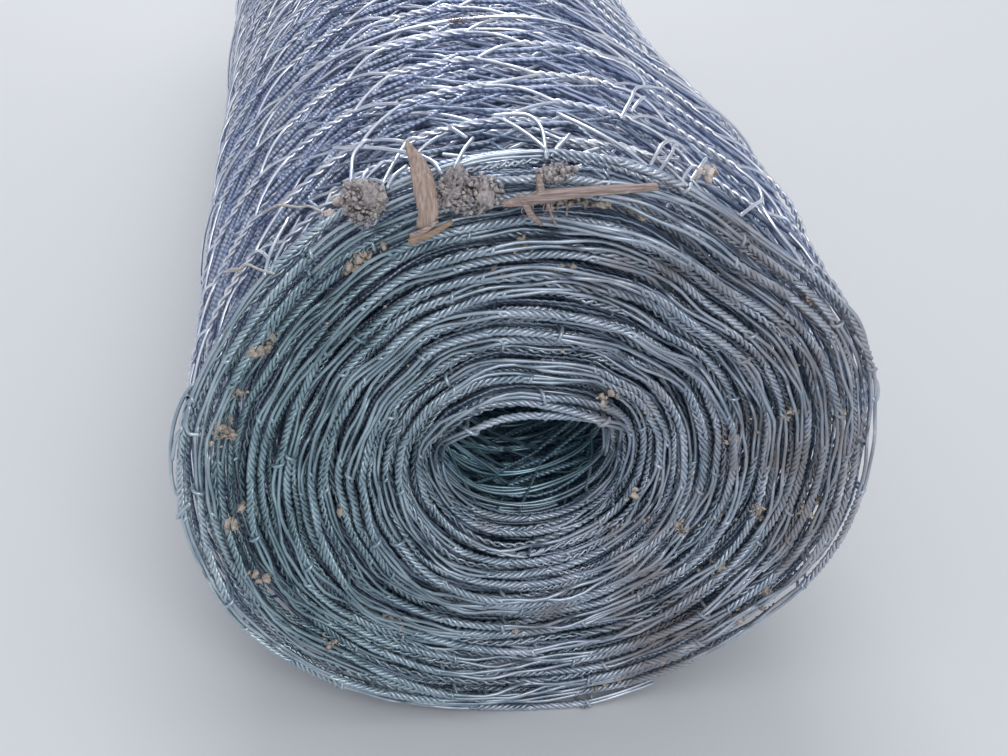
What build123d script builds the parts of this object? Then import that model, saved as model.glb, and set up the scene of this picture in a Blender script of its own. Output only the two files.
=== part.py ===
# Roll of galvanised hexagonal wire netting, lying on its side.
# One web of netting is wound on itself round an open bore, so the roll is one turned solid.
# Its turns show on both ends as rings, one ring for the selvedge of each turn.
# Frame: the roll's axis runs along Y, Z is up, and the origin is on the floor under the middle.
import os

from build123d import *

# Driving dimensions, in millimetres
roll_diameter = 175.0      # over the outermost turn
bore_diameter = 40.0       # the opening left by the mandrel that the web was wound on
roll_width = 600.0         # the web's width, from selvedge to selvedge
turn_pitch = 3.0           # nominal step from one turn to the next, along the radius
selvedge_thickness = 2.1   # one turn's edge: two or three wires side by side
selvedge_rounding = 0.5    # radius at the two corners of each turn's edge
gap_depth = 5.0            # how far the gap between two turns reaches in from the ends

# Worked out from the driving dimensions
roll_radius = roll_diameter / 2
bore_radius = bore_diameter / 2
turn_span = roll_radius - bore_radius - selvedge_thickness
turn_steps = max(1, round(turn_span / turn_pitch))
turn_step = turn_span / turn_steps


def turn_edge(inner_radius, end_y, inward):
    """Corner points of one turn's edge: (radius, y) pairs from the bore side outwards."""
    outer_radius = inner_radius + selvedge_thickness
    gap_floor_y = end_y + inward * gap_depth
    shoulder_y = end_y + inward * selvedge_rounding
    return [
        (inner_radius, gap_floor_y),
        (inner_radius, shoulder_y),
        (inner_radius + selvedge_rounding, end_y),
        (outer_radius - selvedge_rounding, end_y),
        (outer_radius, shoulder_y),
        (outer_radius, gap_floor_y),
    ]


def end_outline(end_y, inward):
    """Edges of the section along one end, with the gaps between the turns."""
    edges = []
    last_point = None
    for turn in range(turn_steps + 1):
        points = turn_edge(bore_radius + turn * turn_step, end_y, inward)
        if last_point is not None:
            edges.append(Line(last_point, points[0]))
        edges.append(Line(points[0], points[1]))
        edges.append(corner(points[1], points[2], inward, outward=False))
        edges.append(Line(points[2], points[3]))
        edges.append(corner(points[3], points[4], inward, outward=True))
        edges.append(Line(points[4], points[5]))
        last_point = points[5]
    return edges


def corner(start, finish, inward, outward):
    """Quarter round between a turn's side and its edge."""
    centre_radius = start[0] if outward else finish[0]
    centre_y = finish[1] if outward else start[1]
    reach = selvedge_rounding * 0.5 ** 0.5
    side = 1 if outward else -1
    middle = (centre_radius + side * reach, centre_y - inward * reach)
    return ThreePointArc(start, middle, finish)


def netting_roll():
    """The wound web: its half section, turned about the roll's axis and laid on the floor."""
    front_y = -roll_width / 2
    back_y = roll_width / 2
    front_edges = end_outline(front_y, inward=1)
    back_edges = end_outline(back_y, inward=-1)
    bore_wall = Line(front_edges[0] @ 0, back_edges[0] @ 0)
    outer_wall = Line(front_edges[-1] @ 1, back_edges[-1] @ 1)
    section = make_face(front_edges + back_edges + [bore_wall, outer_wall])
    turned = revolve(section, axis=Axis.Y)
    return Pos(0, 0, roll_radius) * turned


os.makedirs("parts", exist_ok=True)

roll = netting_roll()
roll.label = "netting_roll"
export_step(roll, "parts/netting_roll.step")
print("turns:", turn_steps + 1, "step:", round(turn_step, 3), "volume:", round(roll.volume))
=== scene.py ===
import math

import bmesh
import bpy
import numpy as np
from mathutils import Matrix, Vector


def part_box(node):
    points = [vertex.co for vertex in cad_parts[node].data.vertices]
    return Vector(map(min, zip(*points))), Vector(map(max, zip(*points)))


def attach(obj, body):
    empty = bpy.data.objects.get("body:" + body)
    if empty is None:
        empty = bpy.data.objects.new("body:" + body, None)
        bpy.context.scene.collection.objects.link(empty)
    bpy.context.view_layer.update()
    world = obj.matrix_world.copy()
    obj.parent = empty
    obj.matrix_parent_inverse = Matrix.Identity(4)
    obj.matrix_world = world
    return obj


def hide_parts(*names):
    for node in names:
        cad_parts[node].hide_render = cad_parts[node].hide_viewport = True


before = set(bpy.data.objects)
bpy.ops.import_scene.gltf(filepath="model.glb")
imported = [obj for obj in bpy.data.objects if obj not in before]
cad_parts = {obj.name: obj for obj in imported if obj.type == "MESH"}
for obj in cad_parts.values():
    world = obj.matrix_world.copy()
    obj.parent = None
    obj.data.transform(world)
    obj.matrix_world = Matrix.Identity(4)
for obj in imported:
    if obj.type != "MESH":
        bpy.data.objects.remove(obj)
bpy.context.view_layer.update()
rollLow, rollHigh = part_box("netting_roll")
print("Frame loaded")

mm = 0.001  # sizes below are in millimetres, meshes are written in metres
fullTurn = 2 * math.pi

# A roll of galvanised hexagonal netting, wound from one web and lying on its side. A clock angle is in
# degrees from its top, towards the right as seen from the front
roll = {
    "radius": (rollHigh[0] - rollLow[0]) / 2 / mm,
    "width": (rollHigh[1] - rollLow[1]) / mm,
    "front": rollLow[1] / mm,
    "turns": 22,            # from the outer ring to the one round the bore
    "edgeThickness": 2.1,   # thickness of one turn's edge
    "cutEnd": 123.7,        # clock angle of the web's outer end
    "innerEnd": 74.0,       # and of its inner end
    "sag": 5.0,             # how far the roll has settled under its own weight
    "sagHalfWidth": 30.0,   # half the arc that this flattens, degrees
    # where it bulges along its whole length: clock angle, half width, mm outwards
    "bulges": ((100, 38, 5.0), (112, 18, 1.5), (-112, 34, 3.5), (-32, 20, 1.2), (42, 18, -4.5)),
    "outerNoise": 0.3,      # unevenness of the outer ring
    # where its outer turns have sprung out: clock angle, half width, mm behind the front, half length, mm out
    "swellings": ((63, 30, 80, 82, 8.5), (-86, 26, 0, 45, 2.0), (-72, 25, 110, 60, 2.0)),
    "swollenTurns": 6.0,    # how many turns it takes for that to fade
    "boreRadius": 21.8,
    "boreDents": ((6, 48, -4.6), (95, 26, -1.0), (277, 26, 0.9)),  # clock angle, half width, mm outwards
    "rimStep": 5.0,         # how far the outermost turn's edge stands back at the upper left
    "rimSide": (-25, 52),   # clock angle and half width of that place
    "rimReach": 40.0,       # how far it carries on along the roll
    "rimTurns": 1.9,        # how many turns it takes for that to fade
    "unevenness": 0.04,     # share by which the gap between two turns varies
    "slits": 45,            # places where two turns stand apart
    "slitGap": (0.1, 0.35),  # by this share of the usual gap
    "slitHalfWidth": (5, 14),
    "slitClock": 130,       # none beyond this clock angle on either side
    "tightness": 0.88,      # share of the usual gap between the innermost turns
    "gapLimits": (0.6, 1.8),
    "layerWave": 0.28,      # how far each layer stands off its place
    "edgeWander": 1.7,      # how far the turns' edges stand before or behind each other
    "seed": 11,
}

netting = {
    "wire": 1.0,            # wire diameter
    "meshWidth": 25.0,      # between two twists side by side
    "twist": 23.0,          # length of a twist
    "run": 13.0,            # how far a diagonal goes along the web
    "twistTurns": 3.5,
    "twistReach": 0.49,     # from a twist's middle to its wires' middles, in wires
    "edgeMesh": 25.0,       # from the selvedge to the first row of twists
    "phase": -71.0,         # start of the first twist, from the web's outer end
    "looseness": (0.8, 0.8, 0.32),  # how far twists lie off their places: along, across and above the web
    "bow": 1.0,             # how far diagonals bulge
    "sprung": 0.12,         # share of diagonals that bulge more
    "sprungBow": 2.3,       # by this factor
    "bowSpread": (0.5, 0.8, 0.3),  # along, across and above the web
    "bowMiddle": (0.0, 0.0, 0.5),
    "deepTwist": 1.7,       # thickness of a twist and of a diagonal inside the roll, in wires
    "deepDiagonal": 1.1,
    "lineWires": (108.0, 300.0, 492.0),  # straight wires along the web
}
period = 2 * (netting["twist"] + netting["run"])
rowStep = netting["meshWidth"] / 2
rowCount = round((roll["width"] - 2 * netting["edgeMesh"]) / rowStep) + 1  # row 0 is the front selvedge

selvedge = {                # two straight wires, with the mesh's wire twisted round them once in each period
    "rope": 31.0,           # length of that twisted stretch
    "ropeTurns": 3.0,       # turns of each half of it, one half left, one half right
    "ropeReach": 0.6,       # from its middle to its wires' middles, in wires
    "unevenness": 0.12,     # how far the mesh's wire leaves its place in it, not drawn evenly tight
    "hook": 2.6,            # length along the edge of the wrap beyond each end of that stretch
    "hookReach": (0.62, 1.9),  # radius of that wrap, mostly near the first
    "kinkOut": 0.4,         # how far the edge's kinks stand out of their turn
    "kinkOutMost": 0.8,
    "kinkAlong": 1.2,       # and along the roll
    "spread": (0.5, 1.0),   # from the middle to the straight wires between two ropes, in wires
    "bend": 0.7,            # how far both bend aside there
    "waves": ((0.4, 3.0), (0.5, 5.1), (0.55, 8.7)),  # how each wanders there: height, and length per radian
    "calmTurns": (0, 1, 3),  # the outermost turns lie close: from the first turn to the third
    "calm": (0.3, 0.4, 1.0),  # share of the bends and waves at those turns
    "calmSpread": (0.62, 0.75, 1.0),
}

# How closely a wire is drawn: sides of its section, points to a turn of a twist, to half a diagonal, to an
# edge wire between ropes, and to a wrap
fine = {"sides": 5, "perTurn": 6, "diagonal": 3, "straight": 6, "hook": 10}
medium = {"sides": 4, "perTurn": 5, "diagonal": 2, "straight": 4, "hook": 7}
coarse = {"sides": 3, "perTurn": 4, "diagonal": 1, "straight": 3, "hook": 5}


# Shape of the wound web

rng = np.random.default_rng(roll["seed"])
clockGrid = np.linspace(0, fullTurn, 721)

boreFunnel = {              # how the edges of the innermost turns step back into the bore
    "depth": 12.5,
    "turns": 7,             # how many of the innermost turns take part
    "curve": 1.6,           # above 1, so the step grows towards the bore
    "reach": 90.0,          # how far it carries on into the roll
    "top": -5.0,            # clock angle round which they stay in front
    "topHalfWidth": 72.0,
    "topShare": 0.97,       # share of the step that is missing there
}


def degreesFrom(centre, clock):  # -180 to 180, centre in degrees, clock in radians
    return (np.degrees(clock) - centre + 180) % 360 - 180


def bell(clock, centre, halfWidth):  # bell curve round a clock angle in degrees, clock itself in radians
    return np.exp(-((degreesFrom(centre, clock) / halfWidth) ** 2))


def ringNoise(waves):  # smooth and closed, about -1 to 1
    total = np.zeros_like(clockGrid)
    for wave in waves:
        total += rng.normal() * np.cos(wave * clockGrid + rng.uniform(0, fullTurn)) / math.sqrt(len(waves))
    return total


def makeRings():  # radius of each ring by clock angle
    outer = np.full_like(clockGrid, roll["radius"] - roll["edgeThickness"] / 2)
    outer -= roll["sag"] * bell(clockGrid, 180, roll["sagHalfWidth"])
    outer += sum(height * bell(clockGrid, clock, halfWidth) for clock, halfWidth, height in roll["bulges"])
    outer += roll["outerNoise"] * ringNoise(range(3, 9))
    inner = np.full_like(clockGrid, roll["boreRadius"])
    for clock, halfWidth, height in roll["boreDents"]:
        inner += height * bell(clockGrid, clock, halfWidth)
    gaps = np.array([1 + roll["unevenness"] * ringNoise(range(1, 7)) for _ in range(roll["turns"])])
    for _ in range(roll["slits"]):
        turn = rng.integers(2, roll["turns"])
        wider = rng.uniform(*roll["slitGap"])
        clock = rng.uniform(-roll["slitClock"], roll["slitClock"])
        gaps[turn] += wider * bell(clockGrid, clock, rng.uniform(*roll["slitHalfWidth"]))
    gaps[-boreFunnel["turns"]:] *= roll["tightness"]
    gaps = np.clip(gaps, *roll["gapLimits"])
    gaps *= (outer - inner) / gaps.sum(axis=0)
    return outer - np.vstack([np.zeros_like(clockGrid), np.cumsum(gaps, axis=0)])


rings = makeRings()
axisHeight = rings[0, 360] + roll["edgeThickness"] / 2  # the lowest wires lie on the floor


def spiralRadius(turned):  # radius of the web after that much winding, in radians
    clock = (turned + math.radians(roll["cutEnd"])) % fullTurn
    turns = np.clip(turned / fullTurn, 0, roll["turns"] - 1e-6)
    ring = turns.astype(int)
    share = turns - ring
    column = clock / fullTurn * (len(clockGrid) - 1)
    left = np.clip(column.astype(int), 0, len(clockGrid) - 2)
    part = column - left
    near = rings[ring, left] * (1 - part) + rings[ring, left + 1] * part
    nextIn = rings[ring + 1, left] * (1 - part) + rings[ring + 1, left + 1] * part
    return near * (1 - share) + nextIn * share


windingGrid = np.linspace(0, roll["turns"] * fullTurn, roll["turns"] * 360)
arcs = spiralRadius((windingGrid[1:] + windingGrid[:-1]) / 2) * np.diff(windingGrid)
webGrid = np.concatenate([[0], np.cumsum(arcs)])
turnStarts = np.interp(np.arange(roll["turns"] + 1) * fullTurn, windingGrid, webGrid)
innerTurn = roll["turns"] - 1 + (roll["innerEnd"] - roll["cutEnd"]) % 360 / 360
webLength = np.interp(innerTurn * fullTurn, windingGrid, webGrid)
print("Web wound:", round(webLength), "mm")

layerWaves = [(rng.uniform(-1, 1) / 9, rng.uniform(-1, 1) / 14, rng.uniform(0, fullTurn)) for _ in range(9)]
edgeWaves = [(rng.uniform(0.3, 2.4), rng.uniform(0, fullTurn)) for _ in range(8)]
edgeWavesTogether = 2.2     # what they seldom go beyond when added up


def toRoll(web, across, lift):  # place along the web, across it and above it, to x, y, z
    turned = np.interp(web, webGrid, windingGrid)
    turnsIn = turned / fullTurn
    clock = turned + math.radians(roll["cutEnd"])
    wave = sum(np.sin(rate * web + acrossRate * across + start) for rate, acrossRate, start in layerWaves)
    radius = spiralRadius(turned) + lift + roll["layerWave"] * wave / math.sqrt(len(layerWaves))
    wander = sum(np.sin(rate * turned + start) for rate, start in edgeWaves)
    wander = wander * roll["edgeWander"] / edgeWavesTogether
    for middle, halfWidth, behind, halfLength, height in roll["swellings"]:
        swelling = height * bell(clock, middle, halfWidth) * np.exp(-((across - behind) / halfLength) ** 2)
        radius = radius + swelling * np.exp(-turnsIn / roll["swollenTurns"])
    inside = np.clip(1 - (roll["turns"] - turnsIn) / boreFunnel["turns"], 0, 1)
    fromTop = degreesFrom(boreFunnel["top"], clock) / boreFunnel["topHalfWidth"]
    below = 1 - boreFunnel["topShare"] * np.exp(-fromTop ** 6)
    fold = boreFunnel["depth"] * inside ** boreFunnel["curve"] * below * np.exp(-across / boreFunnel["reach"])
    step = roll["rimStep"] * np.exp(-turnsIn / roll["rimTurns"]) * bell(clock, *roll["rimSide"])
    fold = fold + step * np.exp(-across / roll["rimReach"])
    x = radius * np.sin(clock)
    y = roll["front"] + across + wander + fold
    z = radius * np.cos(clock) + axisHeight
    return np.stack([x, y, z], axis=-1)


def pointsToRoll(points):  # the same, for points with their three places last
    return toRoll(*np.moveaxis(points, -1, 0))


# Wires as tubes

def ringFaces(count, points, sides):  # four-sided faces along tubes whose corners go round, then along
    index = np.arange(count * points * sides).reshape(count, points, sides)
    here, beyond = index[:, :-1], index[:, 1:]
    faces = np.stack([here, np.roll(here, -1, axis=2), np.roll(beyond, -1, axis=2), beyond], axis=-1)
    return faces.reshape(-1, 4)


def tubes(paths, thickness, sides):  # paths: wires by points by x, y, z
    count, points, _ = paths.shape
    along = np.gradient(paths, axis=1)
    along /= np.linalg.norm(along, axis=2, keepdims=True) + 1e-9
    normals = np.empty_like(paths)
    aside = np.cross(along[:, 0], [0.31, 0.52, 0.79])  # a direction that no wire runs along
    normals[:, 0] = aside / (np.linalg.norm(aside, axis=1, keepdims=True) + 1e-9)
    for point in range(1, points):
        turned = normals[:, point - 1]
        turned = turned - (turned * along[:, point]).sum(axis=1, keepdims=True) * along[:, point]
        normals[:, point] = turned / (np.linalg.norm(turned, axis=1, keepdims=True) + 1e-9)
    sideways = np.cross(along, normals)
    angles = np.arange(sides) * fullTurn / sides
    rim = normals[:, :, None] * np.cos(angles)[:, None] + sideways[:, :, None] * np.sin(angles)[:, None]
    radii = np.broadcast_to(np.asarray(thickness) / 2, (points,))
    corners = paths[:, :, None] + rim * radii[None, :, None, None]
    tones = np.repeat(rng.uniform(0, 1, count), points * sides)
    return corners.reshape(-1, 3), ringFaces(count, points, sides), tones


def meshPiece(name, groups, material):  # one object from groups of corners, faces and tones
    corners = np.concatenate([group[0] for group in groups]) * mm
    starts = np.cumsum([0] + [len(group[0]) for group in groups])
    faces = np.concatenate([group[1] + start for group, start in zip(groups, starts)])
    tones = np.concatenate([group[2] for group in groups])
    sides = faces.shape[1]
    mesh = bpy.data.meshes.new(name)
    mesh.vertices.add(len(corners))
    mesh.vertices.foreach_set("co", corners.astype(np.float32).ravel())
    mesh.loops.add(faces.size)
    mesh.loops.foreach_set("vertex_index", faces.astype(np.int32).ravel())
    mesh.polygons.add(len(faces))
    mesh.polygons.foreach_set("loop_start", (np.arange(len(faces)) * sides).astype(np.int32))
    mesh.polygons.foreach_set("use_smooth", np.ones(len(faces), dtype=bool))
    mesh.attributes.new("tone", "FLOAT", "POINT").data.foreach_set("value", tones.astype(np.float32))
    mesh.update(calc_edges=True)
    mesh.materials.append(material)
    piece = bpy.data.objects.new(name, mesh)
    bpy.context.scene.collection.objects.link(piece)
    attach(piece, "root")
    print(name, len(faces) * (sides - 2), "triangles")
    return piece


# Hexagonal mesh: twists in rows, joined by diagonals

def layOutWeb():  # the ends of every twist and the bulge of every diagonal, so that neighbours meet
    periods = int(webLength / period) + 3
    shape = (rowCount + 2, periods)
    rows = np.arange(rowCount + 2)
    across = netting["edgeMesh"] + (rows - 1) * rowStep
    across[0], across[-1] = 0, roll["width"]
    along = (netting["phase"] + (rows % 2) * period / 2)[:, None] + np.arange(periods)[None] * period
    start = np.stack([along, np.broadcast_to(across[:, None], shape), np.zeros(shape)], axis=-1)
    end = start + [netting["twist"], 0, 0]
    start[[0, -1], :, 0] -= (selvedge["rope"] - netting["twist"]) / 2
    end[[0, -1]] = start[[0, -1]] + [selvedge["rope"], 0, 0]
    start[1:-1] += rng.normal(0, 1, start[1:-1].shape) * netting["looseness"]
    end[1:-1] += rng.normal(0, 1, end[1:-1].shape) * netting["looseness"]
    bows = []
    for _ in range(2):
        sprung = rng.uniform(0, 1, shape) < netting["sprung"]
        size = netting["bow"] * np.where(sprung, netting["sprungBow"], 1.0)[..., None]
        bows.append(size * (rng.normal(0, 1, shape + (3,)) * netting["bowSpread"] + netting["bowMiddle"]))
    return {"start": start, "end": end, "bowUp": bows[0], "bowDown": bows[1], "periods": periods}


web = layOutWeb()


def diagonalPoints(rows, periods, upward, shares):  # points of the diagonal that leaves a twist's end
    side = 1 if upward else -1
    offset = np.array([0, side * netting["wire"] / 2, 0])
    nextPeriods = np.where(rows % 2 == 0, periods, periods + 1)
    begin = web["end"][rows, periods] + offset
    finish = web["start"][rows + side, nextPeriods] - offset
    bow = web["bowUp" if upward else "bowDown"][rows, periods]
    shares = np.asarray(shares)[None, :, None]
    return begin[:, None] * (1 - shares) + finish[:, None] * shares + bow[:, None] * 4 * shares * (1 - shares)


def previousPeriods(rows, periods):  # of the neighbouring twists that end before this one starts
    return np.where(rows % 2 == 0, periods - 1, periods)


def halfDiagonal(level):  # from a twist to just past the middle, where the next wire takes over
    return np.linspace(0, 0.51, level["diagonal"] + 1)[1:]


def strandPaths(rows, periods, level):  # both wires of each twist, from mid-diagonal to mid-diagonal
    outShares = halfDiagonal(level)
    points = round(netting["twistTurns"] * level["perTurn"]) + 1
    shares = np.linspace(0, 1, points)[None, :, None]
    middle = web["start"][rows, periods][:, None] * (1 - shares) + web["end"][rows, periods][:, None] * shares
    angle = shares[..., 0] * netting["twistTurns"] * fullTurn
    reach = netting["wire"] * netting["twistReach"]
    paths = []
    for side, lead in ((1, 0), (-1, math.pi)):
        around = [np.cos(angle + lead), np.sin(angle + lead)]
        helix = np.stack([np.zeros_like(angle), reach * around[0], reach * around[1]], axis=-1)
        arriving = diagonalPoints(rows + side, previousPeriods(rows, periods), side < 0, 1 - outShares[::-1])
        leaving = diagonalPoints(rows, periods, side < 0, outShares)
        paths.append(np.concatenate([arriving, middle + helix, leaving], axis=1))
    return np.concatenate(paths)


def twistsBetween(firstRow, lastRow, firstTurn, lastTurn):  # rows and periods of the twists in that stretch
    lastWeb = min(webLength - netting["twist"] - netting["run"], turnStarts[lastTurn])
    grid = np.meshgrid(np.arange(firstRow, lastRow + 1), np.arange(1, web["periods"] - 1), indexing="ij")
    rows, periods = (numbers.ravel() for numbers in grid)
    place = web["start"][rows, periods, 0]
    chosen = (place >= turnStarts[firstTurn]) & (place < lastWeb)
    return rows[chosen], periods[chosen]


def netTubes(firstRow, lastRow, firstTurn, lastTurn, level, aside=(0, 0, 0)):  # aside: along, across, above
    rows, periods = twistsBetween(firstRow, lastRow, firstTurn, lastTurn)
    return tubes(pointsToRoll(strandPaths(rows, periods, level) + aside), netting["wire"], level["sides"])


def deepNetTubes(firstRow, lastRow, firstTurn, lastTurn, aside=(0, 0, 0)):  # there a twist is one thick wire
    rows, periods = twistsBetween(firstRow, lastRow, firstTurn, lastTurn)
    twists = np.stack([web["start"][rows, periods], web["end"][rows, periods]], axis=1) + aside
    groups = [tubes(pointsToRoll(twists), netting["wire"] * netting["deepTwist"], 3)]
    for upward in (True, False):
        diagonals = diagonalPoints(rows, periods, upward, [0, 1]) + aside
        groups.append(tubes(pointsToRoll(diagonals), netting["wire"] * netting["deepDiagonal"], 3))
    return groups


# Selvedges

def ropePlaces(level):  # points of a rope as shares of its length, and the angle of its lay there
    shares = np.linspace(0, 1, round(2 * selvedge["ropeTurns"] * level["perTurn"]) + 1)
    return shares, selvedge["ropeTurns"] * fullTurn * (1 - np.abs(2 * shares - 1))


def makeKinks(row):  # where ropes begin and end: places, how far out of the turn, and along the roll
    places = np.stack([web["start"][row, :, 0], web["end"][row, :, 0]], axis=1).ravel()
    most = selvedge["kinkOutMost"]
    out = np.clip(rng.normal(0, selvedge["kinkOut"], places.size), -most, most)
    out[places < turnStarts[1]] *= selvedge["calm"][0]
    return places, out, rng.normal(0, selvedge["kinkAlong"], places.size)


def edgeToRoll(row, kinks, along, inward, lift):  # from the edge's own places
    places, kinksOut, kinksAlong = kinks
    across = web["start"][row, 0, 1] + (1 if row == 0 else -1) * inward + np.interp(along, places, kinksAlong)
    return toRoll(along, across, lift + np.interp(along, places, kinksOut))


def straightWires(row, periods, kinks, level):  # close together in each rope, apart between ropes
    ropeShares, ropeAngle = ropePlaces(level)
    ropeReach = selvedge["ropeReach"] * netting["wire"]
    start, end = web["start"][row, periods, :1], web["end"][row, periods, :1]
    before = (web["end"][row, periods - 1, :1] + start) / 2
    after = (web["start"][row, periods + 1, :1] + end) / 2
    steps = np.linspace(0, 1, level["straight"] + 1)[:-1]
    closing = np.clip(steps * 1.6 - 0.6, 0, 1)  # they turn to the rope's lay late
    opening = np.cos(steps * math.pi / 2)
    stretches = [before + (start - before) * steps, start + (end - start) * ropeShares]
    stretches.append(end + (after - end) * (1 - steps[::-1]))
    along = np.concatenate(stretches, axis=1).ravel()
    tail = np.linspace(after[-1, 0], webLength, 10)[1:]  # past the last rope

    calmPlaces = turnStarts[list(selvedge["calmTurns"])]
    spread = rng.uniform(*selvedge["spread"], web["periods"]) * netting["wire"]
    spread = (spread * np.interp(web["start"][row, :, 0], calmPlaces, selvedge["calmSpread"]))[:, None]
    bend = rng.normal(0, selvedge["bend"], web["periods"])
    bend = (bend * np.interp(web["start"][row, :, 0], calmPlaces, selvedge["calm"]))[:, None]
    loose = np.tile(np.concatenate([opening, ropeShares * 0, opening[::-1]]), len(periods))
    loose = loose * np.interp(along, calmPlaces, selvedge["calm"])
    groups = []
    for restAngle, lead in ((math.pi / 2, fullTurn / 3), (1.5 * math.pi, 2 * fullTurn / 3)):
        angle = restAngle + (lead - restAngle) * closing
        inward, lift = [], []
        for gap in (periods - 1, periods):
            reach = ropeReach + (spread[gap] - ropeReach) * opening
            inward.append(reach * np.cos(angle) + bend[gap] * opening)
            lift.append(reach * np.sin(angle) + bend[gap] * opening * 0.4)
        inward.insert(1, np.broadcast_to(ropeReach * np.cos(ropeAngle + lead), stretches[1].shape))
        lift.insert(1, np.broadcast_to(ropeReach * np.sin(ropeAngle + lead), stretches[1].shape))
        inward, lift = (np.concatenate([a, b, c[:, ::-1]], axis=1).ravel() for a, b, c in (inward, lift))
        for height, length in selvedge["waves"]:
            starts = rng.uniform(0, fullTurn, 2)
            inward = inward + height * 1.3 * loose * np.sin(along / length + starts[0])
            lift = lift + height * 0.8 * loose * np.sin(along / length + starts[1])
        inward, lift = (np.pad(values, (0, tail.size), "edge") for values in (inward, lift))
        path = edgeToRoll(row, kinks, np.append(along, tail), inward, lift)
        groups.append(tubes(path[None], netting["wire"], level["sides"]))
    return groups


def wrappedWire(row, periods, kinks, level):  # in on a diagonal, once round, along the rope, and out again
    ropeShares, ropeAngle = ropePlaces(level)
    ropeReach = selvedge["ropeReach"] * netting["wire"]
    hook = level["hook"]
    hookShares = np.linspace(0, 1, hook + 1)[:-1]
    wrap = selvedge["hook"] / selvedge["rope"]
    shares = np.concatenate([(hookShares - 1) * wrap, ropeShares, 1 + (1 - hookShares[::-1]) * wrap])
    angle = np.concatenate([(hookShares - 1) * fullTurn, ropeAngle, (hookShares[::-1] - 1) * fullTurn])
    least, most = selvedge["hookReach"]
    reaches = least + (most - least) * rng.uniform(0, 1, (2, len(periods), 1)) ** 3
    reaches = reaches - (reaches - ropeReach) * hookShares ** 3
    nudge = rng.normal(0, selvedge["unevenness"], (2, len(periods), len(ropeShares)))
    reach = np.concatenate([reaches[0], np.full(nudge[0].shape, ropeReach), reaches[1][:, ::-1]], axis=1)
    inward, lift = reach * np.cos(angle), reach * np.sin(angle)
    inward[:, hook:-hook] += nudge[0]
    lift[:, hook:-hook] += nudge[1]
    start, end = web["start"][row, periods, :1], web["end"][row, periods, :1]
    rope = edgeToRoll(row, kinks, start + (end - start) * shares, inward, lift)

    front = row == 0
    rows = np.full_like(periods, row)
    nextRows = rows + 1 if front else rows - 1
    outShares = halfDiagonal(level)
    arriving = diagonalPoints(nextRows, previousPeriods(rows, periods), not front, 1 - outShares[::-1])
    leaving = diagonalPoints(rows, periods, front, outShares)
    paths = np.concatenate([pointsToRoll(arriving), rope, pointsToRoll(leaving)], axis=1)
    return tubes(paths, netting["wire"], level["sides"])


def selvedgeTubes(row, level):
    _, periods = twistsBetween(row, row, 0, roll["turns"])
    kinks = makeKinks(row)
    return straightWires(row, periods, kinks, level) + [wrappedWire(row, periods, kinks, level)]


# Wires behind the edges, in the bore and along the web

def wavy(middle, place, waves):  # wanders about its middle; waves: height, and length per radian
    wander = (height * np.sin(place / length + rng.uniform(0, fullTurn)) for height, length in waves)
    return sum(wander, middle)


backingRopes = {            # twisted pairs behind the gap between two edges, their lay changing in turn
    "behind": 1.9,          # the edges
    "above": -1.45,         # their turn
    "step": 1.0,            # between two points of a wire
    "pitch": 4.2,           # length of one turn of their twist
    "stretch": 38.0,        # before the lay turns the other way
    "unevenness": 0.09,     # in wires
}


def backingRopeTubes(firstWeb, lastWeb):
    place = np.arange(firstWeb, lastWeb, backingRopes["step"])
    across = wavy(backingRopes["behind"], place, ((0.7, 7.3), (0.6, 17)))
    height = wavy(backingRopes["above"], place, ((0.3, 5.1), (0.3, 12.7)))
    stretch = place / backingRopes["stretch"] + 0.3 * np.sin(place / 31)
    angle = fullTurn * backingRopes["stretch"] / backingRopes["pitch"] * np.abs(stretch % 2 - 1)
    groups = []
    for lead in (0, math.pi):
        reach = netting["wire"] * (0.5 + rng.normal(0, backingRopes["unevenness"], len(place)))
        path = toRoll(place, across + reach * np.cos(angle + lead), height + reach * np.sin(angle + lead))
        groups.append(tubes(path[None], netting["wire"], 3))
    return groups


def backingTubes(wires, firstWeb, lastWeb):  # wires: place behind the edges and above their turn, thickness
    groups = []
    for behind, above, thickness in wires:
        place = np.arange(firstWeb, lastWeb, 6.0)
        across = wavy(behind, place, ((0.6, 6.3), (0.5, 14)))
        height = wavy(above, place, ((0.3, 4.1), (0.3, 9.7)))
        groups.append(tubes(toRoll(place, across, height)[None], thickness, 3))
    return groups


def boreArcs():  # pairs of wires that run round the bore, on the innermost turns
    groups = []
    for behind in (7.0, 14.0, 24.0, 37.0, 52.0):
        for apart in (-0.65, 0.65):
            place = np.arange(turnStarts[-3] + rng.uniform(0, 20), webLength - 4, 2.5)
            across = wavy(behind + apart, place, ((0.5, 5.3),))
            height = wavy(0.5, place, ((0.3, 8),))
            groups.append(tubes(toRoll(place, across, height)[None], netting["wire"] * 0.9, 5))
    return groups


def lineWireTubes(lastTurn, level):
    groups = []
    for across in netting["lineWires"]:
        place = np.arange(0, turnStarts[lastTurn], 6.0)
        sway = across + 1.6 * np.sin(place / 53) + 0.9 * np.sin(place / 19)
        path = toRoll(place, sway, np.full_like(place, netting["wire"] * 1.3))
        groups.append(tubes(path[None], netting["wire"], level["sides"]))
    return groups


# Materials

def linear(hexColour):  # sRGB hex to a linear colour
    channels = [int(hexColour[i:i + 2], 16) / 255 for i in (1, 3, 5)]
    return [c / 12.92 if c <= 0.04045 else ((c + 0.055) / 1.055) ** 2.4 for c in channels] + [1.0]


def setInputs(tree, node, inputs):  # values or links, by name or in order
    pairs = inputs.items() if isinstance(inputs, dict) else enumerate(inputs)
    for key, value in pairs:
        if isinstance(value, bpy.types.NodeSocket):
            tree.links.new(value, node.inputs[key])
        else:
            node.inputs[key].default_value = value


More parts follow.
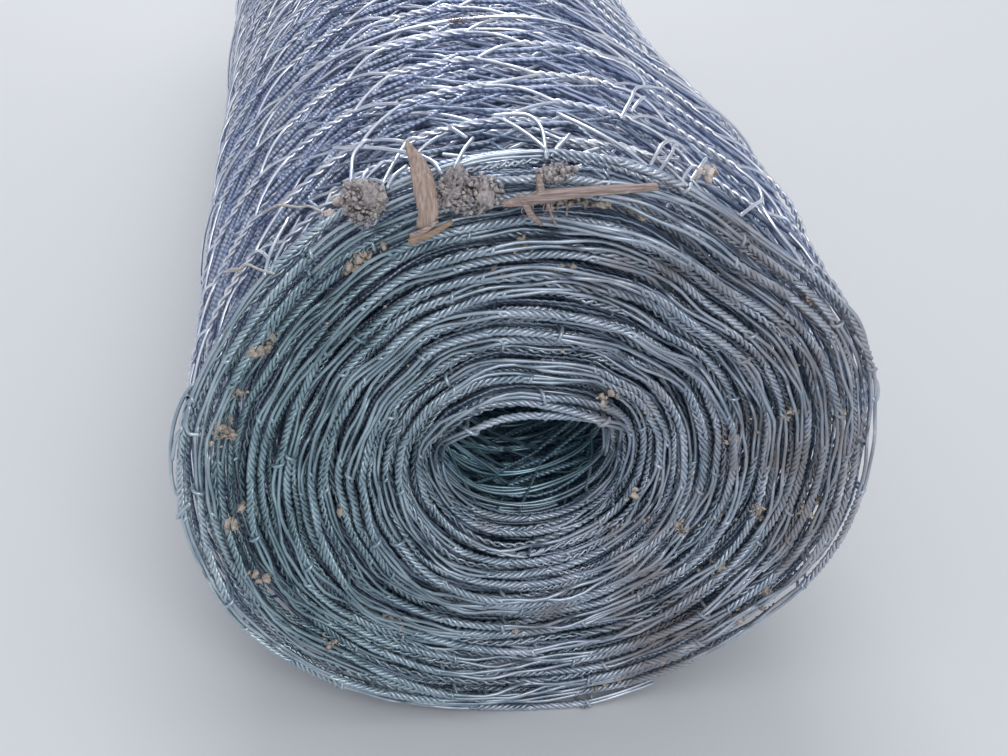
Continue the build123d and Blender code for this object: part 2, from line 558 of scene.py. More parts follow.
def addNode(tree, kind, settings=None, inputs=()):  # gives its outputs; stops: a ramp's places and colours
    node = tree.nodes.new("ShaderNode" + kind)
    for key, value in (settings or {}).items():
        if key == "stops":
            elements = node.color_ramp.elements
            elements.remove(elements[1])
            elements[0].position, elements[0].color = value[0][0], linear(value[0][1])
            for place, colour in value[1:]:
                elements.new(place).color = linear(colour)
        else:
            setattr(node, key, value)
    setInputs(tree, node, inputs)
    return node.outputs


def newMaterial(name):  # with its nodes, where the surface is there already
    material = bpy.data.materials.new(name)
    material.use_nodes = True
    return material, material.node_tree


softStep = {"interpolation_type": "SMOOTHSTEP"}  # inputs: value, from low, from high, to low, to high
colourMix = {"data_type": "RGBA"}  # inputs 0, 6 and 7: share, first and second colour
multiply = {"operation": "MULTIPLY"}

galvanised = {
    "clean": ("#d3ddf2", "#fcfdff"),     # zinc gone grey in the weather, and where it still shines; both tinted blue as painted sky light, the bright one near white as a painted highlight
    "filmLeft": ("#6f8a93", "#acc6ce"),  # the same under the greenish film on the front end
    "filmRight": ("#8b9cab", "#ced7e3"),  # further right, lighter and bluer
    "filmSides": (-75.0, 10.0),          # from the one to the other
    "boreTeal": ("#7aa5b2", "#b3d6e1"),  # teal for all wire in the bore, down its whole length
    "deep": ("#b0bfe4", "#e6f0fd"),      # wire inside the roll, pale blue as painted sky light filling its shade
    "deepFilm": ("#8b9eb1", "#bccbdb"),  # and just behind the filmed end: the film, bluer as painted sky light in the shade
    "lay": 1.9,             # between the painted shade bands that draw a twist's lay inside the roll
    "layShadow": "#68779d",
    "patchSize": 9.0,       # length of a bright or dull patch
    "grain": 0.4,           # of the zinc, drawn coarser than it is, so that it shows
    "roughness": (0.3, 0.36, 0.9),   # clean, filmed, dusty
    "metallic": (0.85, 0.6, 0.1),
    "filmDepth": (3.0, 20.0),        # behind the end: how far the film covers fully, and where it ends
    "deepFilmDepth": (20.0, 60.0),   # the same inside the roll
    "boreTealDepth": (450.0, 600.0),  # and for the bore's teal
    "boreMouth": (8.0, 34.0),        # behind the end: where the bore's colour begins, and where it is full
    "boreRadius": (40.0, 60.0),      # from the axis: how far wire is the bore's, and where that ends
    "rimRadius": (77.0, 87.0),       # and where the film thins out towards the rim
    "rimFilm": 0.65,
    "dust": "#857d7d",      # soil dust dried on, most of it on the right of the filmed end
    "dustPatch": 22.0,
}


def filmMasks(tree, place, depths):  # 1 on the end's film and the bore's teal together, then on the bore alone
    middle = [0, roll["front"] * mm, axisHeight * mm]  # of the front end
    fromMiddle = addNode(tree, "VectorMath", {"operation": "SUBTRACT"}, [place, middle])[0]
    behind = addNode(tree, "SeparateXYZ", None, [fromMiddle])["Y"]
    sideways = addNode(tree, "VectorMath", multiply, [fromMiddle, [1, 0, 1]])[0]
    fromAxis = addNode(tree, "VectorMath", {"operation": "LENGTH"}, [sideways])["Value"]
    onEnd, thinned, nearBore, alongBore, pastMouth = (
        addNode(tree, "MapRange", softStep, [value, low * mm, high * mm, atLow, atHigh])[0]
        for value, (low, high), atLow, atHigh in (
            (behind, depths, 1.0, 0.0),
            (fromAxis, galvanised["rimRadius"], 1.0, galvanised["rimFilm"]),
            (fromAxis, galvanised["boreRadius"], 1.0, 0.0),
            (behind, galvanised["boreTealDepth"], 1.0, 0.0),
            (behind, galvanised["boreMouth"], 0.0, 1.0)))
    onEnd = addNode(tree, "Math", multiply, [onEnd, thinned])[0]
    inBore = addNode(tree, "Math", multiply, [nearBore, alongBore])[0]
    film = addNode(tree, "Math", {"operation": "MAXIMUM"}, [onEnd, inBore])[0]
    return film, addNode(tree, "Math", multiply, [inBore, pastMouth])[0]


def dustMask(tree, place, sideways, film):  # 0 on clean wire, towards 1 where soil has dried on
    scale = 1 / (galvanised["dustPatch"] * mm)
    patches = addNode(tree, "TexNoise", None, {
        "Vector": place, "Scale": scale, "Detail": 8.0, "Roughness": 0.65})["Fac"]
    more = addNode(tree, "MapRange", softStep, [sideways, -40 * mm, 80 * mm, -0.12, 0.1])[0]
    patches = addNode(tree, "Math", {"operation": "ADD"}, [patches, more])[0]
    mask = addNode(tree, "MapRange", softStep, [patches, 0.48, 0.7, 0.0, 0.75])[0]
    return addNode(tree, "Math", multiply, [mask, film])[0]


def galvanisedWire():  # hot-dip galvanised steel, weathered: grey zinc tinted blue as painted sky light, with a soft gleam along each wire
    material, tree = newMaterial("galvanisedWire")
    place = addNode(tree, "TexCoord")["Object"]
    sideways = addNode(tree, "SeparateXYZ", None, [place])["X"]
    tone = addNode(tree, "Attribute", {"attribute_name": "tone"})["Fac"]
    patches = addNode(tree, "TexNoise", None, {
        "Vector": place, "Scale": 1 / (galvanised["patchSize"] * mm), "Detail": 4.0, "Roughness": 0.6})["Fac"]
    shade = addNode(tree, "Math", {"operation": "MULTIPLY_ADD"}, [tone, 0.12, patches])[0]
    clean, left, right, bore = (
        addNode(tree, "ValToRGB", {"stops": [(0.35, dull), (0.75, bright)]}, [shade])[0]
        for dull, bright in (galvanised[name] for name in ("clean", "filmLeft", "filmRight", "boreTeal")))
    film, inBore = filmMasks(tree, place, galvanised["filmDepth"])
    low, high = galvanised["filmSides"]
    toRight = addNode(tree, "MapRange", softStep, [sideways, low * mm, high * mm, 0.0, 1.0])[0]
    filmed = addNode(tree, "Mix", colourMix, {0: toRight, 6: left, 7: right})[2]
    filmed = addNode(tree, "Mix", colourMix, {0: inBore, 6: filmed, 7: bore})[2]
    dust = dustMask(tree, place, sideways, film)
    colour = addNode(tree, "Mix", colourMix, {0: film, 6: clean, 7: filmed})[2]
    colour = addNode(tree, "Mix", colourMix, {0: dust, 6: colour, 7: linear(galvanised["dust"])})[2]
    gloss = {}
    for name in ("metallic", "roughness"):
        onClean, onFilm, onDust = galvanised[name]
        undusted = addNode(tree, "MapRange", softStep, [film, 0.0, 1.0, onClean, onFilm])[0]
        gloss[name] = addNode(tree, "MapRange", softStep, [dust, 0.0, 1.0, undusted, onDust])[0]
    grain = addNode(tree, "TexNoise", None, {
        "Vector": place, "Scale": 1 / (galvanised["grain"] * mm), "Detail": 2.0})["Fac"]
    bump = addNode(tree, "Bump", None, {"Height": grain, "Strength": 0.25, "Distance": 0.05 * mm})[0]
    setInputs(tree, tree.nodes["Principled BSDF"], {
        "Base Color": colour, "Metallic": gloss["metallic"], "Roughness": gloss["roughness"], "Normal": bump})
    return material


def paintedShadeGalvanisedWire():  # the same wire inside the roll, less glossy, with painted light: pale blue for sky light in its shade, and painted shade bands with bumps for the lay
    material, tree = newMaterial("paintedShadeGalvanisedWire")
    place = addNode(tree, "TexCoord")["Object"]
    patches = addNode(tree, "TexNoise", None, {
        "Vector": place, "Scale": 1 / (galvanised["patchSize"] * mm), "Detail": 4.0, "Roughness": 0.6})["Fac"]
    deep, filmed, bore = (
        addNode(tree, "ValToRGB", {"stops": [(0.35, dull), (0.7, bright)]}, [patches])[0]
        for dull, bright in (galvanised[name] for name in ("deep", "deepFilm", "boreTeal")))
    film, inBore = filmMasks(tree, place, galvanised["deepFilmDepth"])
    colour = addNode(tree, "Mix", colourMix, {0: film, 6: deep, 7: filmed})[2]
    colour = addNode(tree, "Mix", colourMix, {0: inBore, 6: colour, 7: bore})[2]
    diagonalWave = 0.628  # how far apart the bands lie at a scale of 1
    lay = addNode(tree, "TexWave", {"bands_direction": "DIAGONAL"}, {
        "Vector": place, "Scale": diagonalWave / (galvanised["lay"] * mm), "Distortion": 1.5})["Fac"]
    # painted shade: dark bands for the grooves between the strands of a twist
    bands = addNode(tree, "MapRange", softStep, [lay, 0.3, 0.55, 0.55, 0.0])[0]
    colour = addNode(tree, "Mix", colourMix, {0: bands, 6: colour, 7: linear(galvanised["layShadow"])})[2]
    bump = addNode(tree, "Bump", None, {"Height": lay, "Strength": 0.7, "Distance": 0.3 * mm})[0]
    setInputs(tree, tree.nodes["Principled BSDF"], {
        "Base Color": colour, "Metallic": 0.5, "Roughness": 0.45, "Normal": bump})
    return material


def drySoil(name, stops):  # dry loam: grey-brown, matt and crumbly
    grit = 0.9  # coarser than it is, so that it shows
    material, tree = newMaterial(name)
    place = addNode(tree, "TexCoord")["Object"]
    tone = addNode(tree, "Attribute", {"attribute_name": "tone"})["Fac"]
    grains = addNode(tree, "TexNoise", None, {
        "Vector": place, "Scale": 1 / (grit * mm), "Detail": 5.0, "Roughness": 0.7})["Fac"]
    shade = addNode(tree, "Math", {"operation": "MULTIPLY_ADD"}, [tone, 0.25, grains])[0]
    colour = addNode(tree, "ValToRGB", {"stops": stops}, [shade])[0]
    bump = addNode(tree, "Bump", None, {"Height": grains, "Strength": 0.8, "Distance": 0.3 * mm})[0]
    setInputs(tree, tree.nodes["Principled BSDF"], {"Base Color": colour, "Roughness": 0.95, "Normal": bump})
    return material


def dryWood(name, grainSize, stops):  # weathered wood, matt; grainSize: its grain's width along x, y and z
    material, tree = newMaterial(name)
    place = addNode(tree, "TexCoord")["Object"]
    scale = [1 / (size * mm) for size in grainSize]
    stretched = addNode(tree, "Mapping", None, {"Vector": place, "Scale": scale})[0]
    grain = addNode(tree, "TexNoise", None, {"Vector": stretched, "Scale": 1.0, "Detail": 4.0})["Fac"]
    colour = addNode(tree, "ValToRGB", {"stops": stops}, [grain])[0]
    bump = addNode(tree, "Bump", None, {"Height": grain, "Strength": 0.6, "Distance": 0.2 * mm})[0]
    setInputs(tree, tree.nodes["Principled BSDF"], {"Base Color": colour, "Roughness": 0.85, "Normal": bump})
    return material


wireFinish = galvanisedWire()
# wire inside the roll, in painted sky light and painted shade
paintedShadeWireFinish = paintedShadeGalvanisedWire()
clodFinish = drySoil("greySoil", [(0.35, "#6b6566"), (0.6, "#a8a1a2"), (0.9, "#e0d6cf")])
crumbFinish = drySoil("brownSoil", [(0.35, "#787069"), (0.6, "#b3a89e"), (0.9, "#ddd0c2")])
chipFinish = dryWood("bareWoodChip", (0.5, 0.5, 6.0), [(0.3, "#8d7b72"), (0.5, "#ae998e"), (0.75, "#cdbaae")])
stemFinish = dryWood("dryStem", (7.0, 0.4, 0.4), [(0.3, "#796b66"), (0.55, "#a89690"), (0.75, "#cfbeb6")])
splinterFinish = dryWood("freshSplinter", (4.0, 0.4, 0.5), [(0.3, "#86705f"), (0.7, "#b39a84")])
rootFinish = dryWood("paleRoot", (0.8, 0.8, 0.8), [(0.3, "#b5aba2"), (0.7, "#ddd8d2")])
leafFinish = dryWood("dryLeaf", (2.0, 2.0, 2.0), [(0.3, "#c2afa3"), (0.7, "#eee2d9")])
print("Materials made")


# The roll's pieces

nearRows = 9                # rows of twists within about 125 mm of each end
lastTurn = roll["turns"]
towardsEdge = (period / 2, -13.0, 0.2)  # sets the first row's twists off towards the front edge
deepNets = {                # rows, turns, and how far the nets that close the roll's depth are set off
    "deep_turns": (
        (nearRows + 1, rowCount, 4, 19),
        (2, nearRows, 6, 17)),
    "nets_between": (
        (1, 14, 0, 16, (period / 4, 3.0, -1.4)),
        (15, rowCount, 2, 8, (period / 4, 3.0, -1.4)),
        (2, 13, 0, 5, (-period / 4, -4.0, -0.7)),
        (1, 24, 18, lastTurn, (period / 4, 3.0, 0.6)),
        (1, 16, 19, lastTurn, (-period / 4, -4.0, -0.5))),
}
firstBacking = 8.0          # where the wires behind the edges start, from the web's outer end
innermostRadius = 21.0      # of the last turn, which has no turn under it
lastBacking = webLength - fullTurn * innermostRadius
closeWires = ((3.4, 0.25, 1.0), (4.6, -1.3, 1.0))  # as backingTubes takes them
rimWires = ((6.2, -1.4, 1.0), (9.5, -2.3, 1.0))
innerWires = ((6.0, -1.6, 1.2), (9.0, -1.3, 1.3), (13.0, -1.6, 1.5), (18.0, -1.4, 1.5))


def addPiece(name, groups, material=wireFinish):
    piece = meshPiece(name, groups, material)
    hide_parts("netting_roll")


addPiece("outer_turns_front", [
    netTubes(1, nearRows, 0, 2, fine),
    netTubes(1, nearRows, 2, 4, medium),
    netTubes(1, nearRows, 4, 6, coarse),
    netTubes(1, 1, 0, 3, medium, towardsEdge)])
addPiece("outer_turn", [netTubes(nearRows + 1, rowCount, 0, 1, medium)] + lineWireTubes(2, medium))
addPiece("second_turns", [netTubes(nearRows + 1, rowCount, 1, 3, coarse)])
addPiece("third_turns", [netTubes(nearRows + 1, rowCount, 3, 4, coarse)])
for name, nets in deepNets.items():
    addPiece(name, [group for net in nets for group in deepNetTubes(*net)], paintedShadeWireFinish)
addPiece("close_behind_edges", backingRopeTubes(firstBacking, lastBacking))
addPiece("inside_the_edges", [
    *backingTubes(closeWires, firstBacking, lastBacking),
    *backingTubes(rimWires, firstBacking, turnStarts[3]),
    *backingTubes(innerWires, turnStarts[3], lastBacking)], paintedShadeWireFinish)
addPiece("bore_turns", boreArcs() + [
    netTubes(1, nearRows, 20, lastTurn, medium),
    netTubes(3, nearRows, 17, 20, coarse),
    netTubes(nearRows + 1, rowCount, 19, lastTurn, coarse)])
addPiece("front_selvedge", selvedgeTubes(0, fine) + [netTubes(1, 1, 6, 20, coarse)])
addPiece("back_selvedge", selvedgeTubes(rowCount + 1, coarse))
print("Roll built")


# Wire ends that have come loose, and the dirt that is caught in the wire

def onEnd(clock, radius, behind):  # place on the front end: clock angle, distance from the axis, behind it
    angle = math.radians(clock)
    return [radius * math.sin(angle), roll["front"] + behind, radius * math.cos(angle) + axisHeight]


def onOuterTurn(clock, above, behind):  # place on the outer turn: clock angle, above it and behind its edge
    turned = math.radians((clock - roll["cutEnd"]) % 360)
    return toRoll(np.interp(turned, windingGrid, webGrid), float(behind), float(above))


def smoothPath(points, steps, tips):  # a soft curve through the points; tips: share of a step beyond each end
    points = np.array(points, dtype=float)
    points = np.concatenate([2 * points[:1] - points[1:2], points, 2 * points[-1:] - points[-2:-1]])
    share = np.linspace(0, 1, steps, endpoint=False)[:, None]
    stretches = []
    for a, b, c, d in zip(points, points[1:], points[2:], points[3:]):
        bend = (2 * a - 5 * b + 4 * c - d) * share ** 2 + (3 * b - a - 3 * c + d) * share ** 3
        stretches.append(b + ((c - a) * share + bend) / 2)
    path = np.concatenate(stretches + [points[-2:-1]])
    tip, tail = path[0] + (path[0] - path[1]) * tips, path[-1] + (path[-1] - path[-2]) * tips
    return np.concatenate([tip[None], path, tail[None]])


def strand(points, thickness, sides, steps, taper=1.0):  # a closed wire or fibre; taper: its far end's share
    path = smoothPath(points, steps, 0.03)
    widths = thickness * np.linspace(1, taper, len(path))
    widths[[0, -1]] = 0.01
    return tubes(path[None], widths, sides)


looseWires = {              # places on the outermost turn
    "doubleLoopLeft": (
        (18.5, -1.5, 5), (19.5, 2.2, 8), (21, 4.2, 13), (24, 4.2, 20), (28, 2.2, 26), (30, 0, 30)),
    "doubleLoopRight": ((20, -1, 4), (21.5, 1.8, 8), (23.5, 3.2, 15), (24.5, 3.4, 20), (27.5, 2.5, 26)),
    "topHook": (
        (18, 0.3, 36), (19.5, 1.4, 42), (21.5, 2.2, 50), (23, 2.4, 57), (26, 2, 66),
        (34, 1.2, 84), (37, 0, 89)),
    "topStub": ((21, 0.5, 44), (23, 2.2, 50), (26, 1.2, 60)),
    "rimStub": ((28, -0.5, 12), (30.5, 2.0, 20), (33, 2.8, 28)),
    "shoulderBend": ((50, 0.2, 48), (48, 1.8, 38), (47, 1.7, 30), (43, 1.6, 20), (38, 0.3, 8)),
    "shoulderBar": ((47, 0.8, 30), (46.5, 1.4, 15), (48.5, 1.3, 5), (50.5, 0.6, 0)),
    "rightEnd": ((60, 0.6, 0), (64, 1.1, -0.5), (68, 0.9, 0), (71, 0.2, 0), (70, -0.6, -1), (67, -1.6, -1)),
    "rightLoop": ((76, 0.2, 1), (78, 1.3, 0), (80, 1.3, -0.5), (81, 0.4, -1), (80, -0.6, 0)),
    "leftHook": ((-73, 0.3, -1), (-76, 0, -1.8), (-77.5, -1.2, -2.2), (-77.5, -3.6, -2.2)),
    "leftLoop": (
        (-71, 0.5, 5), (-74, 2.0, 4), (-78, 2.6, 3), (-82, 2.5, 2), (-87, 2.0, 1),
        (-90, 1.2, 1), (-91, 0, 1)),
    "leftBranch": ((-77.5, 0.5, 0), (-79.5, 1.6, 0), (-83.5, 1.9, 0)),
    "leftTip": ((-94, 1.6, -1), (-92.5, 0, -1.6), (-91, -2.4, -2)),
    "topBar": ((-20, 0.5, 8), (-22, 1.6, 2), (-23.5, 1, -2)),
    "rise": ((-30, -0.3, 8), (-29, 1.2, 16), (-28, 2, 26), (-26, 2.2, 30), (-25, 1.0, 32)),
    "lowRise": ((-28, 0, 4), (-27, 1.4, 10), (-26, 1.2, 14)),
    "shortBar": ((-9, 0.8, 14), (-11, 1.4, 6), (-13, 1.2, -3)),
    "farBar": ((-12, 0.8, 24), (-10, 1.3, 14)),
    "bentBar": ((-5, 0.5, 28), (-2, 1.3, 26), (0.7, 1.7, 23.5), (1.8, 1.8, 14), (1, 0.6, -2)),
    "stub": ((2, -0.3, 2), (6, 1.5, 12)),
    "ridgeBar": ((6, 0.4, 30), (10, 1.5, 18), (14, 1.5, 10), (18, 0.4, 4)),
    "longWire": ((-32, 0.8, 42), (-25, 1.5, 26), (-19, 1.8, 12), (-16, 1.4, 4), (-15, 0.5, -3)),
    "leftBar": ((-42, 0.8, 20), (-45, 1.8, 8), (-47.5, 1, 0)),
}
wood = {                    # centre line on the front end, width at each of its points, thickness
    "wood_chip": (
        ((-20.7, 76.4, -3.6), (-18.9, 79.8, -3.8), (-18.3, 83.6, -3.2), (-17.9, 87.6, -2.4),
         (-17.8, 91.3, -1.2), (-18.1, 94.3, -0.2), (-18.1, 95.9, 0.2)),
        (3, 4.2, 4.7, 4.6, 3.2, 1.5, 0.4), 1.1),
    "wood_splinter": (((-23.9, 74.8, -3.6), (-19.7, 75.0, -4.4), (-15.6, 75.6, -3.4)), (1.7, 1.5, 0.6), 1.0),
    "wood_sliver": (((-23.3, 76.1, -3.6), (-20.6, 76.5, -4.6), (-17.9, 77.0, -3.6)), (1.3, 1.2, 0.7), 0.8),
    "dry_stem": (
        ((-6.8, 77.2, -3.8), (-3.3, 77.8, -5.2), (0.6, 78.7, -5.6), (6.4, 79.6, -5.4), (13, 81.2, -5.0),
         (18.4, 83.2, -4.2)), (1.2, 2.2, 2.9, 2.2, 1.8, 1.5), 1.6),
    "stem_fork": (((-0.7, 83.4, -4.0), (-0.5, 80.8, -5.0), (-0.2, 78.3, -5.2)), (1.1, 1.7, 1.8), 1.2),
    "stem_leg": (
        ((-3.8, 79.6, -5.4), (-3.0, 77.1, -5.6), (-2.1, 74.2, -4.6), (0, 70.6, -3.0)),
        (0.9, 1.5, 1.4, 0.6), 0.9),
}


def stripPiece(name, points, widths, thickness, material):  # flat wood, its broad side to the front
    path = smoothPath([onEnd(*point) for point in points], 6, 0.05)
    count, sides = len(path), 14
    width = np.interp(np.linspace(0, 1, count), np.linspace(0, 1, len(widths)), widths)
    depth = np.minimum(width, thickness)
    width[[0, -1]] *= 0.1
    depth[[0, -1]] *= 0.1
    along = np.gradient(path, axis=0)
    along /= np.linalg.norm(along, axis=1, keepdims=True)
    sideways = np.cross(along, [0, -1, 0])
    sideways /= np.linalg.norm(sideways, axis=1, keepdims=True)
    outward = np.cross(sideways, along)
    angles = np.arange(sides) * fullTurn / sides
    flat = np.sign(np.cos(angles)) * np.abs(np.cos(angles)) ** 0.6
    raised = np.sign(np.sin(angles)) * np.abs(np.sin(angles)) ** 0.6
    groove = 1 + rng.normal(0, 0.1, sides) + rng.normal(0, 0.05, (count, sides))
    corners = path[:, None] + sideways[:, None] * (width[:, None] / 2 * flat * groove)[..., None]
    corners = corners + outward[:, None] * (depth[:, None] / 2 * raised * groove)[..., None]
    tones = np.full(count * sides, 0.5)
    meshPiece(name, [(corners.reshape(-1, 3), ringFaces(1, count, sides), tones)], material)


def ballShape(level):
    ball = bmesh.new()
    bmesh.ops.create_icosphere(ball, subdivisions=level, radius=1.0)
    corners = np.array([list(corner.co) for corner in ball.verts])
    faces = np.array([[corner.index for corner in face.verts] for face in ball.faces])
    ball.free()
    return corners, faces


def lumps(centres, sizes, level, crumple):  # irregular lumps: three-sided faces
    shape, shapeFaces = ballShape(level)
    count, waves = len(centres), 14  # waves: from broad bumps to fine ones
    rates = rng.normal(0, 1, (count, waves, 3)) * np.linspace(1.5, 14, waves)[None, :, None]
    starts = rng.uniform(0, fullTurn, (count, 1, waves))
    heights = 1 / np.linspace(1, 3, waves)
    bumps = (np.sin(np.einsum("cwk,vk->cvw", rates, shape) + starts) * heights).sum(axis=2)
    corners = shape[None] * (1 + crumple * bumps)[..., None] * np.asarray(sizes)[:, None] / 2
    turns = np.linalg.qr(rng.normal(0, 1, (count, 3, 3)))[0]
    corners = np.einsum("cvk,ckj->cvj", corners, turns) + np.asarray(centres)[:, None]
    faces = shapeFaces[None] + (np.arange(count) * len(shape))[:, None, None]
    tones = np.repeat(rng.uniform(0, 1, count), len(shape))
    return corners.reshape(-1, 3), faces.reshape(-1, 3), tones


clods = {                   # place of the middle, size in x, y and z, lumps and crumbs
    "leftClod": (onEnd(-27.4, 86.8, 0.4), (9.5, 6.5, 10.5), 8, 360),
    "middleClod": (onEnd(-12.0, 80.4, -1.4), (15.0, 5.5, 9.5), 10, 500),
    "rightClod": (onEnd(2.6, 82.3, -1.0), (8.5, 5.0, 4.2), 4, 150),
}
crumbPlaces = (             # clock angle, distance from the axis, spread along and across the turns, crumbs
    (-76, 79, 5, 5, 26), (-68, 77.7, 2.5, 3, 9), (-58, 77.5, 9, 3, 16), (-33, 75, 6.5, 2, 22),
    (-3, 63.5, 2.5, 3, 9), (1.2, 75.5, 4, 2, 16), (5, 74.9, 6, 2.5, 28), (9.5, 75.2, 4, 2, 14),
    (17.7, 75.8, 6, 2.5, 20), (164, 77.6, 17, 3, 26), (56, 79.5, 2.5, 3, 9), (127, 62, 4, 2.5, 10),
    (120, 45, 3, 3, 9), (-174, 52.6, 3, 2, 7), (-140, 59, 3, 2, 7), (-7, 57.4, 5, 2, 9),
    (5, 57.7, 3, 2, 6), (84, 52, 3, 3, 8), (80, 66, 3, 3, 8),
    (83, 81, 3, 4, 8), (107, 64, 4, 3, 10), (104, 77, 4, 3, 8), (113, 52, 4, 3, 8), (127, 83, 4, 3, 10),
    (-97, 79, 3, 3, 8), (-94, 73, 3, 3, 6), (-99, 50, 3, 2, 6), (-110, 78, 4, 3, 8), (-133, 76, 4, 3, 9),
    (134, 80, 4, 2, 8), (112, 28, 3, 3, 7), (40, 28, 3, 3, 5))
scatteredCrumbs = 170


def joinCrumbs(groups, stretch):  # middles and sizes of all crumbs, each stretched its own way
    middles = np.concatenate([middles for middles, _ in groups])
    sizes = np.concatenate([sizes for _, sizes in groups])[:, None] * rng.uniform(*stretch, (len(middles), 3))
    return middles, sizes


def clodPiece():  # each clod is a heap of lumps with crumbs stuck all over
    cores, crumbs = [], []
    for middle, size, lumpCount, crumbCount in clods.values():
        away = np.clip(rng.normal(0, 0.2, (lumpCount, 3)), -0.26, 0.26) * size
        cores.append(lumps(middle + away, np.array(size) * rng.uniform(0.3, 0.56, (lumpCount, 1)), 3, 0.2))
        outward = rng.normal(0, 1, (crumbCount, 3))
        outward /= np.linalg.norm(outward, axis=1, keepdims=True)
        middles = middle + outward * size * rng.uniform(0.3, 0.56, (crumbCount, 1))
        crumbs.append((middles, rng.uniform(0.4, 1.35, crumbCount)))
    meshPiece("soil_clods", cores + [lumps(*joinCrumbs(crumbs, (0.7, 1.3)), 1, 0.2)], clodFinish)


def crumbPiece():  # crumbs in little heaps, and fine ones scattered over the end
    crumbs = []
    for clock, radius, along, across, count in crumbPlaces:
        radii = radius + rng.normal(0, 0.4, count) * across
        clocks = clock + np.degrees(rng.normal(0, 0.4, count) * along / radius)
        places = [onEnd(*place) for place in zip(clocks, radii, rng.uniform(-0.8, 1.2, count))]
        crumbs.append((np.array(places), rng.uniform(0.5, 2.0, count)))
    clocks = rng.normal(100, 75, scatteredCrumbs)
    radii = rng.uniform(30, 80, scatteredCrumbs)
    places = [onEnd(*place) for place in zip(clocks, radii, rng.uniform(-0.3, 2, scatteredCrumbs))]
    middles, sizes = joinCrumbs(crumbs, (0.5, 1.3))
    grit = lumps(np.array(places), rng.uniform(0.4, 1.1, (scatteredCrumbs, 3)), 1, 0.2)
    meshPiece("soil_crumbs", [lumps(middles, sizes, 2, 0.32), grit], crumbFinish)


rootLines = (               # places on the outermost turn
    ((-49, 0.6, 42), (-44, 1.7, 32), (-39, 1.6, 18), (-37, 1.5, 14), (-34.5, 1, 5)),
    ((-61, 0.8, 38), (-54, 1.6, 20), (-51, 2.2, 14), (-48, 1.6, 4), (-45.5, 0.6, -3)),
    ((-59.5, 0.8, 35), (-56.5, 1.4, 27), (-53.5, 1.6, 19)))
leafCrumbs = (              # places there, and sizes
    ((33, 1.3, 21), (4.2, 2.6, 0.9)), ((36, 1.3, 29), (3.4, 2.2, 0.8)), ((30, 1.0, 17), (2.6, 1.8, 0.7)),
    ((34, 1.2, 26), (3.0, 2.0, 0.7)), ((-31.5, 1.0, 5), (3.2, 2.4, 2.2)), ((-33.5, 0.8, 3), (2.4, 1.6, 1.8)))


def fibrePieces():  # fibres that hang from the stem, roots on the left, fluff further back, bits of leaf
    fibres = [strand([onEnd(0.7, 77.0, -5.2), onEnd(1.8, 73, -4.4), onEnd(2.7, 70.4, -3.0)], 0.9, 5, 4, 0.5)]
    for _ in range(7):
        clock, drop = rng.uniform(-3, 2.5), rng.uniform(2, 5)
        bend = rng.normal(0, 0.6, 2)
        middle, end = (clock + bend[0], 77 - drop * 0.5, -5.0), (clock + bend[1], 76.5 - drop, -3.0)
        line = ((clock, 78, -5.0), middle, end)
        fibres.append(strand([onEnd(*point) for point in line], rng.uniform(0.35, 0.6), 4, 4, 0.4))
    meshPiece("stem_fibres", fibres, stemFinish)
    roots = [strand([onOuterTurn(*point) for point in line], 0.75, 5, 4, 0.8) for line in rootLines]
    meshPiece("root_strands", roots, rootFinish)
    fluff = []
    for _ in range(14):
        clock, bend = rng.uniform(-7, -3), rng.normal(0, 1.5, 2)
        end = (clock + bend[1], 2.6, 103 + rng.uniform(0, 8))
        line = ((clock, -0.3, 108), (clock + bend[0], 1.8, 106), end)
        fluff.append(strand([onOuterTurn(*point) for point in line], 0.3, 3, 3, 0.4))
    meshPiece("dry_fluff", fluff, stemFinish)
    middles = [onOuterTurn(*place) for place, _ in leafCrumbs]
    meshPiece("leaf_crumbs", [lumps(middles, [size for _, size in leafCrumbs], 3, 0.14)], leafFinish)


looseLines = [[onOuterTurn(*point) for point in points] for points in looseWires.values()]
addPiece("loose_wires", [strand(line, netting["wire"], 6, 5) for line in looseLines])
clodPiece()
crumbPiece()
woodFinishes = {"wood_chip": chipFinish, "wood_splinter": splinterFinish}
for name, (points, widths, thickness) in wood.items():
    stripPiece(name, points, widths, thickness, woodFinishes.get(name, stemFinish))
fibrePieces()
print("Loose wires and dirt built")


# Floor, lights and camera

studio = {
    "floor": "#d3d5d7",
    "floorSize": 8000.0,
    "overhead": "#f6f8ff",  # world straight above
    "horizon": "#7b828f",   # and level with the roll
    "worldStrength": 0.9,
    "boxes": {              # soft boxes: watts, size and place in metres
        "backBox": (50.0, 1.2, (0.1, 3.0, 1.9)),
        "frontBox": (14.0, 0.8, (0.5, -2.0, 1.5)),
    },
    "aim": (0, -0.1, 0.1),  # what they point at
}


def floorMaterial():  # smooth pale studio floor: matt, and it keeps the roll's shadow
    material, tree = newMaterial("studioFloor")
    setInputs(tree, tree.nodes["Principled BSDF"], {"Base Color": linear(studio["floor"]), "Roughness": 0.7})
    return material


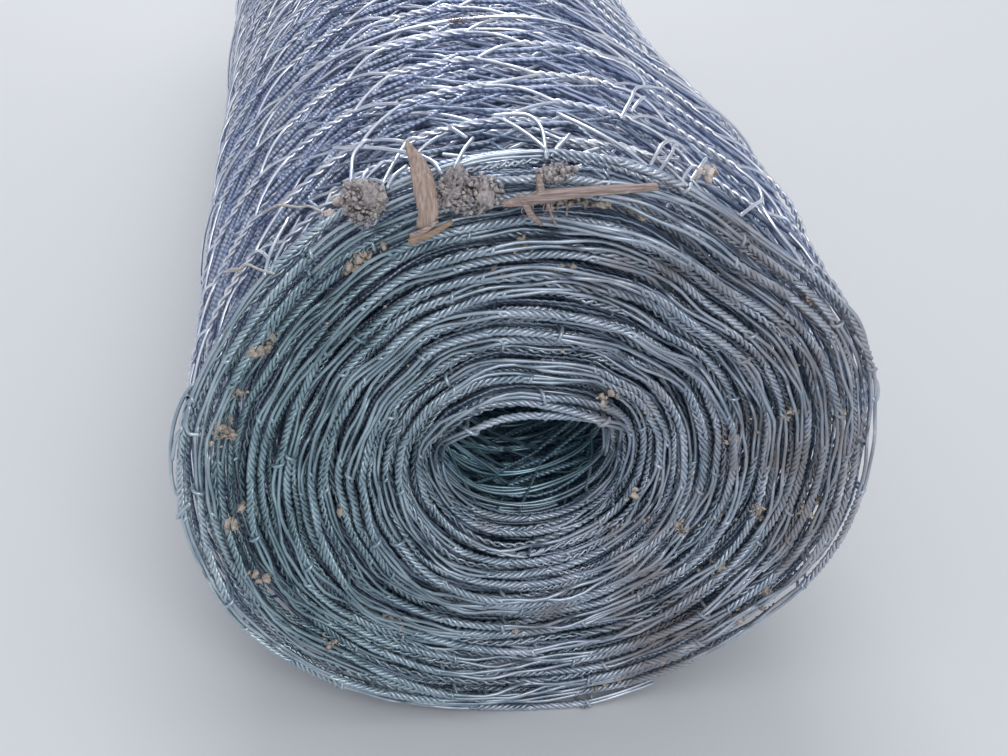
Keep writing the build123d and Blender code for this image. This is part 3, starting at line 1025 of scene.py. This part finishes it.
def buildFloor():
    half = studio["floorSize"] * mm / 2
    mesh = bpy.data.meshes.new("studioFloor")
    corners = [(-half, -half, 0), (half, -half, 0), (half, half, 0), (-half, half, 0)]
    mesh.from_pydata(corners, [], [(0, 1, 2, 3)])
    mesh.materials.append(floorMaterial())
    floor = bpy.data.objects.new("studioFloor", mesh)
    bpy.context.scene.collection.objects.link(floor)


def buildLights():
    world = bpy.data.worlds.new("studio")
    bpy.context.scene.world = world
    world.use_nodes = True
    tree = world.node_tree
    direction = addNode(tree, "TexCoord")["Generated"]
    height = addNode(tree, "SeparateXYZ", None, [direction])["Z"]
    stops = [(0.0, studio["horizon"]), (0.8, studio["overhead"])]
    shade = addNode(tree, "ValToRGB", {"stops": stops}, [height])[0]
    setInputs(tree, tree.nodes["Background"], {"Color": shade, "Strength": studio["worldStrength"]})
    for name, (power, size, place) in studio["boxes"].items():
        lamp = bpy.data.lights.new(name, "AREA")
        lamp.shape = "SQUARE"
        lamp.size = size
        lamp.energy = power
        box = bpy.data.objects.new(name, lamp)
        box.location = place
        box.rotation_euler = (Vector(studio["aim"]) - box.location).to_track_quat("-Z", "Y").to_euler()
        bpy.context.scene.collection.objects.link(box)


viewpoint = {               # from the photograph: the end that shows, seen from above and a little left
    "aside": -46.1,         # from the middle of that end
    "back": -291.3,
    "height": 288.4,        # above the floor
    "turn": 7.41,           # degrees towards +X
    "down": 31.08,
    "lens": 50.0,
}


def buildCamera():
    camera = bpy.data.objects.new("camera", bpy.data.cameras.new("camera"))
    camera.data.lens = viewpoint["lens"]
    camera.data.sensor_width = 36.0
    camera.data.clip_start = 0.01
    place = (viewpoint["aside"], roll["front"] + viewpoint["back"], viewpoint["height"])
    camera.location = [length * mm for length in place]
    camera.rotation_euler = (math.radians(90 - viewpoint["down"]), 0, math.radians(-viewpoint["turn"]))
    bpy.context.scene.collection.objects.link(camera)
    bpy.context.scene.camera = camera


buildFloor()
buildLights()
buildCamera()
bpy.context.scene.view_settings.view_transform = "Standard"
print("Studio built")
